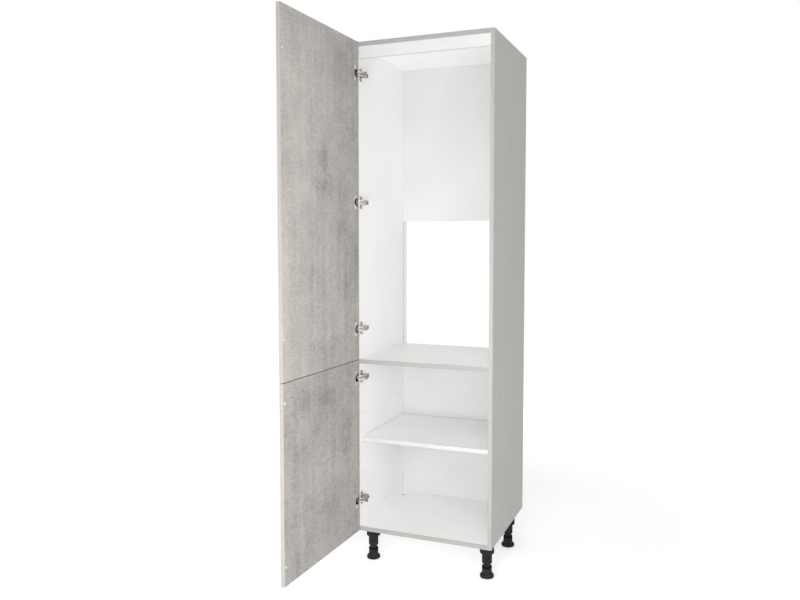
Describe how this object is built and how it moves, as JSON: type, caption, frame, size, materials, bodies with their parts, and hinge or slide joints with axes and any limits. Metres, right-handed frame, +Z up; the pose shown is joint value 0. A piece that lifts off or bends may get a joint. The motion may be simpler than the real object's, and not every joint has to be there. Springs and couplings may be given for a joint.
{
  "type": "tall fridge housing cabinet",
  "caption": "Tall fridge housing cabinet with concrete-look upper and lower doors on concealed hinges, an open rear window, a fixed and a loose shelf, and adjustable black legs.",
  "frame": {"origin": "on the floor, at the wall plane (the rear ends of the side panels), in the middle of the width", "axes": "+Z up, +Y to the wall, +X to the right as seen from the front; the doors open towards -Y"},
  "size_m": [0.6132, 1.1472, 2.22],
  "materials": {
    "carcass_board": "melamine board, white inside and light grey outside",
    "rail_board": "white melamine board",
    "back_board": "white lacquered fibreboard",
    "grey_edge": "grey edge band with faint lengthwise streaks",
    "white_edge": "white edge band",
    "door_board": "cloudy concrete-look laminate",
    "door_edge": "edge band in the door's tone",
    "dowel_wood": "plain beech",
    "hinge_nickel": "nickel plated",
    "pin_steel": "bright steel",
    "screw_steel": "zinc plated",
    "bumper_clear": "translucent soft plastic",
    "white_plastic": "white plastic",
    "leg_plastic": "black plastic, slightly glossy"
  },
  "bodies": {
    "carcass": {"left_side_panel": "carcass_board", "right_side_panel": "carcass_board", "top_panel": "carcass_board", "base_panel": "carcass_board", "fixed_shelf": "carcass_board", "top_front_rail": "rail_board", "upper_back_panel": "back_board", "lower_back_panel": "back_board", "left_side_band": "grey_edge", "right_side_band": "grey_edge", "top_panel_band": "grey_edge", "fixed_shelf_band": "grey_edge", "base_panel_band": "grey_edge", "carcass_dowels": "dowel_wood", "upper_arm_1": "hinge_nickel", "upper_arm_2": "hinge_nickel", "upper_arm_3": "hinge_nickel", "lower_arm_1": "hinge_nickel", "lower_arm_2": "hinge_nickel", "upper_plate_1": "hinge_nickel", "upper_plate_2": "hinge_nickel", "upper_plate_3": "hinge_nickel", "lower_plate_1": "hinge_nickel", "lower_plate_2": "hinge_nickel", "arm_pins": "pin_steel", "shelf_pins": "pin_steel", "arm_screws": "screw_steel", "plate_screws": "screw_steel", "leg_screws": "screw_steel", "leg_access_bushes": "white_plastic", "leg_front_left": "leg_plastic", "leg_front_right": "leg_plastic", "leg_rear_left": "leg_plastic", "leg_rear_right": "leg_plastic"},
    "upper_outer_links": {"upper_outer_links": "hinge_nickel"},
    "upper_inner_links": {"upper_inner_links": "hinge_nickel"},
    "upper_door": {"upper_door_panel": "door_board", "upper_door_bands": "door_edge", "upper_bumpers": "bumper_clear", "upper_cup_screws": "screw_steel", "upper_cup_pins": "pin_steel", "upper_cup_1": "hinge_nickel", "upper_cup_2": "hinge_nickel", "upper_cup_3": "hinge_nickel"},
    "lower_outer_links": {"lower_outer_links": "hinge_nickel"},
    "lower_inner_links": {"lower_inner_links": "hinge_nickel"},
    "lower_door": {"lower_door_panel": "door_board", "lower_door_bands": "door_edge", "lower_bumpers": "bumper_clear", "lower_cup_screws": "screw_steel", "lower_cup_pins": "pin_steel", "lower_cup_1": "hinge_nickel", "lower_cup_2": "hinge_nickel"},
    "loose_shelf": {"loose_shelf": "carcass_board", "loose_shelf_band": "white_edge"},
    "foot_front_left": {"foot_front_left": "leg_plastic"},
    "foot_front_right": {"foot_front_right": "leg_plastic"},
    "foot_rear_left": {"foot_rear_left": "leg_plastic"},
    "foot_rear_right": {"foot_rear_right": "leg_plastic"}
  },
  "joints": [
    {"name": "upper_outer_link_swing", "type": "hinge", "parent": "carcass", "child": "upper_outer_links", "pos_m": [-0.25899, -0.53985, 1.5555], "axis": [0, 0, 1], "range_deg": [-8.62, 0.52]},
    {"name": "upper_door_swing", "type": "hinge", "parent": "upper_outer_links", "child": "upper_door", "pos_m": [-0.28836, -0.55806, 1.5555], "axis": [0, 0, 1], "range_deg": [-3.82, 99.92]},
    {"name": "upper_inner_link_swing", "type": "hinge", "parent": "carcass", "child": "upper_inner_links", "pos_m": [-0.25094, -0.54119, 1.5555], "axis": [0, 0, 1], "range_deg": [-18.67, 0.91]},
    {"name": "lower_outer_link_swing", "type": "hinge", "parent": "carcass", "child": "lower_outer_links", "pos_m": [-0.25899, -0.53985, 0.55095], "axis": [0, 0, 1], "range_deg": [-8.62, 0.52]},
    {"name": "lower_door_swing", "type": "hinge", "parent": "lower_outer_links", "child": "lower_door", "pos_m": [-0.28836, -0.55806, 0.55095], "axis": [0, 0, 1], "range_deg": [-3.82, 99.92]},
    {"name": "lower_inner_link_swing", "type": "hinge", "parent": "carcass", "child": "lower_inner_links", "pos_m": [-0.25094, -0.54119, 0.55095], "axis": [0, 0, 1], "range_deg": [-18.67, 0.91]},
    {"name": "loose_shelf_lift", "type": "slide", "parent": "carcass", "child": "loose_shelf", "axis": [0, 0, 1], "range_m": [0, 0.128]},
    {"name": "foot_front_left_screw", "type": "slide", "parent": "carcass", "child": "foot_front_left", "axis": [0, 0, -1], "range_m": [-0.003, 0.025]},
    {"name": "foot_front_right_screw", "type": "slide", "parent": "carcass", "child": "foot_front_right", "axis": [0, 0, -1], "range_m": [-0.003, 0.025]},
    {"name": "foot_rear_left_screw", "type": "slide", "parent": "carcass", "child": "foot_rear_left", "axis": [0, 0, -1], "range_m": [-0.003, 0.025]},
    {"name": "foot_rear_right_screw", "type": "slide", "parent": "carcass", "child": "foot_rear_right", "axis": [0, 0, -1], "range_m": [-0.003, 0.025]}
  ],
  "couplings": [
    {"joint": "upper_outer_link_swing", "follows": "upper_door_swing", "ratio": -0.084234},
    {"joint": "upper_inner_link_swing", "follows": "upper_door_swing", "ratio": -0.18489},
    {"joint": "lower_outer_link_swing", "follows": "lower_door_swing", "ratio": -0.084234},
    {"joint": "lower_inner_link_swing", "follows": "lower_door_swing", "ratio": -0.18489}
  ]
}
